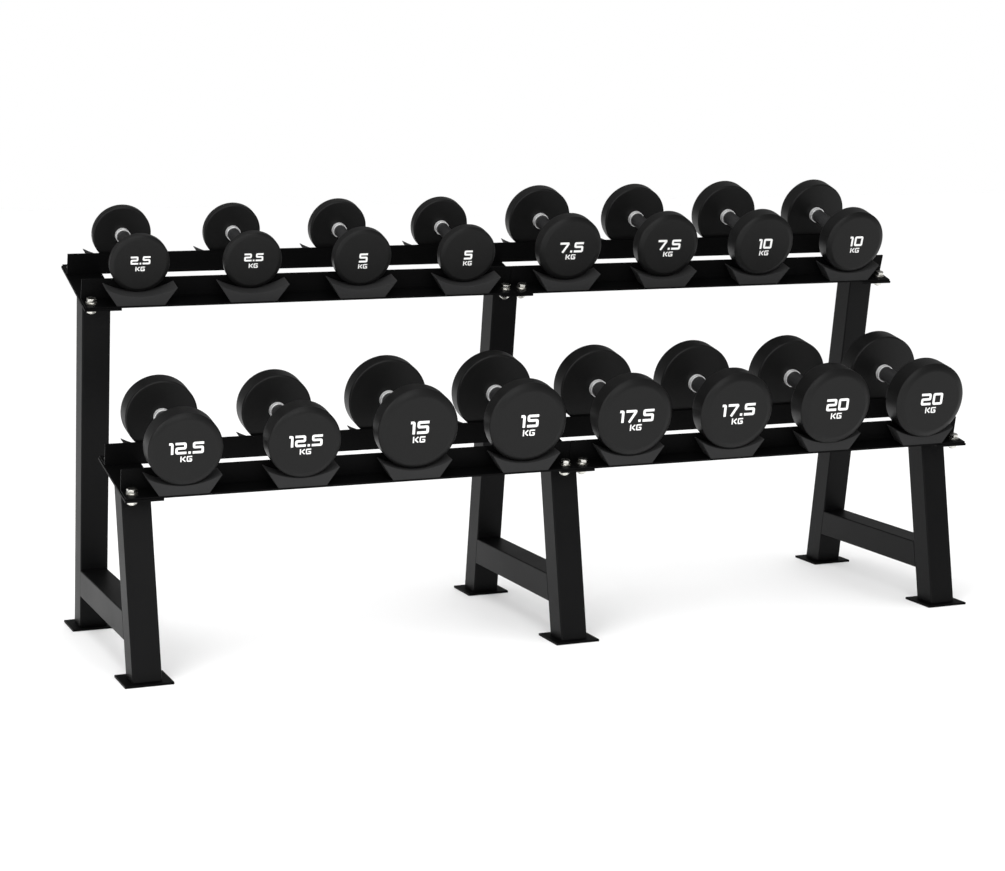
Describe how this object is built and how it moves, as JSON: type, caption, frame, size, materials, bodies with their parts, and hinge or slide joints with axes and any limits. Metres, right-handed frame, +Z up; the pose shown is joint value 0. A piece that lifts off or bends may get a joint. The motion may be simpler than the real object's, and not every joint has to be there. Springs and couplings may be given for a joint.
{
  "type": "dumbbell rack",
  "caption": "Two-tier sloping dumbbell rack of welded leaning square-tube frames and angle rails, with moulded cradles holding round-headed dumbbells.",
  "frame": {"origin": "centre of the underside of the middle frame's front foot plate, on the floor", "axes": "+X along the rack to the right seen from the front, +Y to the back, +Z up"},
  "size_m": [2.022, 0.6734, 0.9898],
  "materials": {
    "black_paint": "satin black powder coat",
    "saddle": "dark grey moulded",
    "zinc": "bright zinc plate",
    "bar_steel": "bright steel",
    "moulding": "matt black"
  },
  "bodies": {
    "rack": {"crossbar_left": "black_paint", "crossbar_middle": "black_paint", "crossbar_right": "black_paint", "foot_plates": "black_paint", "rail_bolts": "zinc", "rail_lower_front_left": "black_paint", "rail_lower_front_right": "black_paint", "rail_lower_rear_left": "black_paint", "rail_lower_rear_right": "black_paint", "rail_nuts": "zinc", "rail_upper_front_left": "black_paint", "rail_upper_front_right": "black_paint", "rail_upper_rear_left": "black_paint", "rail_upper_rear_right": "black_paint", "rail_washers": "zinc", "saddle_screws": "zinc", "saddles_lower_front": "saddle", "saddles_lower_rear": "saddle", "saddles_upper_front": "saddle", "saddles_upper_rear": "saddle", "shelf_plates_lower": "black_paint", "shelf_plates_upper": "black_paint", "upright_front_left": "black_paint", "upright_front_middle": "black_paint", "upright_front_right": "black_paint", "upright_rear_left": "black_paint", "upright_rear_middle": "black_paint", "upright_rear_right": "black_paint"},
    "dumbbell_01": {"dumbbell_01_steel": "bar_steel", "dumbbell_01_heads": "moulding"},
    "dumbbell_02": {"dumbbell_02_steel": "bar_steel", "dumbbell_02_heads": "moulding"},
    "dumbbell_03": {"dumbbell_03_steel": "bar_steel", "dumbbell_03_heads": "moulding"},
    "dumbbell_04": {"dumbbell_04_steel": "bar_steel", "dumbbell_04_heads": "moulding"},
    "dumbbell_05": {"dumbbell_05_steel": "bar_steel", "dumbbell_05_heads": "moulding"},
    "dumbbell_06": {"dumbbell_06_steel": "bar_steel", "dumbbell_06_heads": "moulding"},
    "dumbbell_07": {"dumbbell_07_steel": "bar_steel", "dumbbell_07_heads": "moulding"},
    "dumbbell_08": {"dumbbell_08_steel": "bar_steel", "dumbbell_08_heads": "moulding"},
    "dumbbell_09": {"dumbbell_09_steel": "bar_steel", "dumbbell_09_heads": "moulding"},
    "dumbbell_10": {"dumbbell_10_steel": "bar_steel", "dumbbell_10_heads": "moulding"},
    "dumbbell_11": {"dumbbell_11_steel": "bar_steel", "dumbbell_11_heads": "moulding"},
    "dumbbell_12": {"dumbbell_12_steel": "bar_steel", "dumbbell_12_heads": "moulding"},
    "dumbbell_13": {"dumbbell_13_steel": "bar_steel", "dumbbell_13_heads": "moulding"},
    "dumbbell_14": {"dumbbell_14_steel": "bar_steel", "dumbbell_14_heads": "moulding"},
    "dumbbell_15": {"dumbbell_15_steel": "bar_steel", "dumbbell_15_heads": "moulding"},
    "dumbbell_16": {"dumbbell_16_steel": "bar_steel", "dumbbell_16_heads": "moulding"}
  },
  "joints": [
    {"name": "dumbbell_01_lift", "type": "slide", "parent": "rack", "child": "dumbbell_01", "axis": [0, -0.3007, 0.9537], "range_m": [0, 0.25]},
    {"name": "dumbbell_02_lift", "type": "slide", "parent": "rack", "child": "dumbbell_02", "axis": [0, -0.3007, 0.9537], "range_m": [0, 0.25]},
    {"name": "dumbbell_03_lift", "type": "slide", "parent": "rack", "child": "dumbbell_03", "axis": [0, -0.3007, 0.9537], "range_m": [0, 0.25]},
    {"name": "dumbbell_04_lift", "type": "slide", "parent": "rack", "child": "dumbbell_04", "axis": [0, -0.3007, 0.9537], "range_m": [0, 0.25]},
    {"name": "dumbbell_05_lift", "type": "slide", "parent": "rack", "child": "dumbbell_05", "axis": [0, -0.3007, 0.9537], "range_m": [0, 0.25]},
    {"name": "dumbbell_06_lift", "type": "slide", "parent": "rack", "child": "dumbbell_06", "axis": [0, -0.3007, 0.9537], "range_m": [0, 0.25]},
    {"name": "dumbbell_07_lift", "type": "slide", "parent": "rack", "child": "dumbbell_07", "axis": [0, -0.3007, 0.9537], "range_m": [0, 0.25]},
    {"name": "dumbbell_08_lift", "type": "slide", "parent": "rack", "child": "dumbbell_08", "axis": [0, -0.3007, 0.9537], "range_m": [0, 0.25]},
    {"name": "dumbbell_09_lift", "type": "slide", "parent": "rack", "child": "dumbbell_09", "axis": [0, -0.2028, 0.9792], "range_m": [0, 0.25]},
    {"name": "dumbbell_10_lift", "type": "slide", "parent": "rack", "child": "dumbbell_10", "axis": [0, -0.2028, 0.9792], "range_m": [0, 0.25]},
    {"name": "dumbbell_11_lift", "type": "slide", "parent": "rack", "child": "dumbbell_11", "axis": [0, -0.2028, 0.9792], "range_m": [0, 0.25]},
    {"name": "dumbbell_12_lift", "type": "slide", "parent": "rack", "child": "dumbbell_12", "axis": [0, -0.2028, 0.9792], "range_m": [0, 0.25]},
    {"name": "dumbbell_13_lift", "type": "slide", "parent": "rack", "child": "dumbbell_13", "axis": [0, -0.2028, 0.9792], "range_m": [0, 0.25]},
    {"name": "dumbbell_14_lift", "type": "slide", "parent": "rack", "child": "dumbbell_14", "axis": [0, -0.2028, 0.9792], "range_m": [0, 0.25]},
    {"name": "dumbbell_15_lift", "type": "slide", "parent": "rack", "child": "dumbbell_15", "axis": [0, -0.2028, 0.9792], "range_m": [0, 0.25]},
    {"name": "dumbbell_16_lift", "type": "slide", "parent": "rack", "child": "dumbbell_16", "axis": [0, -0.2028, 0.9792], "range_m": [0, 0.25]}
  ]
}
